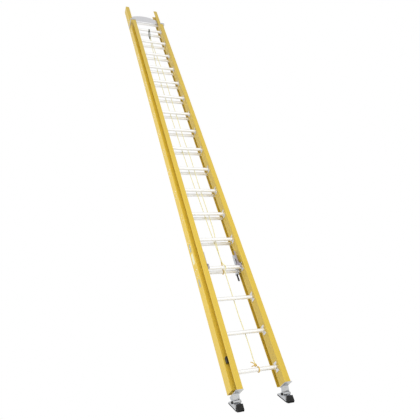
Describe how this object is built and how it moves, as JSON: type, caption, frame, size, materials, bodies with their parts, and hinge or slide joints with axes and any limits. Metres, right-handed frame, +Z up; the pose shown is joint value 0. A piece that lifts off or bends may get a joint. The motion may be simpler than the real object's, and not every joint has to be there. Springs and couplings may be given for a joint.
{
  "type": "extension ladder",
  "caption": "Two-section fibreglass extension ladder with a rope and pulley, spring rung locks and swivel shoes.",
  "frame": {"origin": "on the ground, in the middle of the ladder's width and depth", "axes": "+Z up along the rails, +X along the rungs to the climber's right, +Y away from the climber, from the base section to the fly"},
  "size_m": [0.485, 0.187, 5.7972],
  "materials": {
    "fibreglass": "satin pultruded glass-fibre composite, pigmented yellow",
    "rung_aluminium": "extruded, satin",
    "plate_aluminium": "stamped, satin",
    "rivet_aluminium": "bright",
    "plated_steel": "zinc plated",
    "cast_aluminium": "sand cast, matt",
    "black_steel": "black oxide",
    "tread_rubber": "moulded, grooved",
    "black_plastic": "moulded",
    "rope": "twisted polypropylene"
  },
  "bodies": {
    "base": {"base_rail_left": "fibreglass", "base_rail_right": "fibreglass", "base_rung_01": "rung_aluminium", "base_rung_02": "rung_aluminium", "base_rung_03": "rung_aluminium", "base_rung_04": "rung_aluminium", "base_rung_05": "rung_aluminium", "base_rung_06": "rung_aluminium", "base_rung_07": "rung_aluminium", "base_rung_08": "rung_aluminium", "base_rung_09": "rung_aluminium", "base_rung_10": "rung_aluminium", "base_rung_11": "rung_aluminium", "base_rung_12": "rung_aluminium", "base_rung_13": "rung_aluminium", "base_rung_14": "rung_aluminium", "base_rung_15": "rung_aluminium", "base_rung_16": "rung_aluminium", "base_rung_17": "rung_aluminium", "base_rung_plates": "plate_aluminium", "base_rivets": "rivet_aluminium", "base_top_guides": "plated_steel", "rail_guides": "black_plastic", "shoe_brackets": "plated_steel", "shoe_bolts": "black_steel", "pulley_block": "black_steel", "rope_fly_run": "rope", "rope_haul_run": "rope", "rope_tie": "rope"},
    "fly": {"fly_rail_left": "fibreglass", "fly_rail_right": "fibreglass", "fly_rung_04": "rung_aluminium", "fly_rung_05": "rung_aluminium", "fly_rung_06": "rung_aluminium", "fly_rung_07": "rung_aluminium", "fly_rung_08": "rung_aluminium", "fly_rung_09": "rung_aluminium", "fly_rung_10": "rung_aluminium", "fly_rung_11": "rung_aluminium", "fly_rung_12": "rung_aluminium", "fly_rung_13": "rung_aluminium", "fly_rung_14": "rung_aluminium", "fly_rung_15": "rung_aluminium", "fly_rung_16": "rung_aluminium", "fly_rung_17": "rung_aluminium", "fly_rung_18": "rung_aluminium", "fly_rung_plates": "plate_aluminium", "fly_rivets": "rivet_aluminium", "fly_top_brace": "plate_aluminium", "lock_bodies": "plated_steel", "rope_eye": "rope"},
    "foot_left": {"shoe_left": "plated_steel", "tread_left": "tread_rubber"},
    "foot_right": {"shoe_right": "plated_steel", "tread_right": "tread_rubber"},
    "hook_left": {"lock_hook_left": "cast_aluminium"},
    "hook_right": {"lock_hook_right": "cast_aluminium"},
    "finger_left": {"lock_finger_left": "black_plastic"},
    "finger_right": {"lock_finger_right": "black_plastic"},
    "sheave": {"pulley_sheave": "black_plastic"}
  },
  "joints": [
    {"name": "fly_slide", "type": "slide", "parent": "base", "child": "fly", "axis": [0, 0, 1], "range_m": [0, 3.6576], "deforming": ["rope_fly_run"]},
    {"name": "hook_left_pivot", "type": "hinge", "parent": "fly", "child": "hook_left", "pos_m": [-0.1505, -0.00852, 1.28138], "axis": [1, 0, 0], "range_deg": [-32, 0], "stiffness_Nm_per_rad": 0.6, "springref_deg": 20.05},
    {"name": "finger_left_pivot", "type": "hinge", "parent": "fly", "child": "finger_left", "pos_m": [-0.1505, 0.04998, 1.15938], "axis": [1, 0, 0], "range_deg": [-30, 45]},
    {"name": "shoe_left_swivel", "type": "hinge", "parent": "base", "child": "foot_left", "pos_m": [-0.2035, 0.01448, 0.08118], "axis": [1, 0, 0], "range_deg": [-75, 30]},
    {"name": "hook_right_pivot", "type": "hinge", "parent": "fly", "child": "hook_right", "pos_m": [0.1505, -0.00852, 1.28138], "axis": [1, 0, 0], "range_deg": [-32, 0], "stiffness_Nm_per_rad": 0.6, "springref_deg": 20.05},
    {"name": "finger_right_pivot", "type": "hinge", "parent": "fly", "child": "finger_right", "pos_m": [0.1505, 0.04998, 1.15938], "axis": [1, 0, 0], "range_deg": [-30, 45]},
    {"name": "shoe_right_swivel", "type": "hinge", "parent": "base", "child": "foot_right", "pos_m": [0.2035, 0.01448, 0.08118], "axis": [1, 0, 0], "range_deg": [-75, 30]},
    {"name": "sheave_spin", "type": "hinge", "parent": "base", "child": "sheave", "pos_m": [0, -0.00852, 5.01378], "axis": [1, 0, 0], "continuous": true}
  ]
}
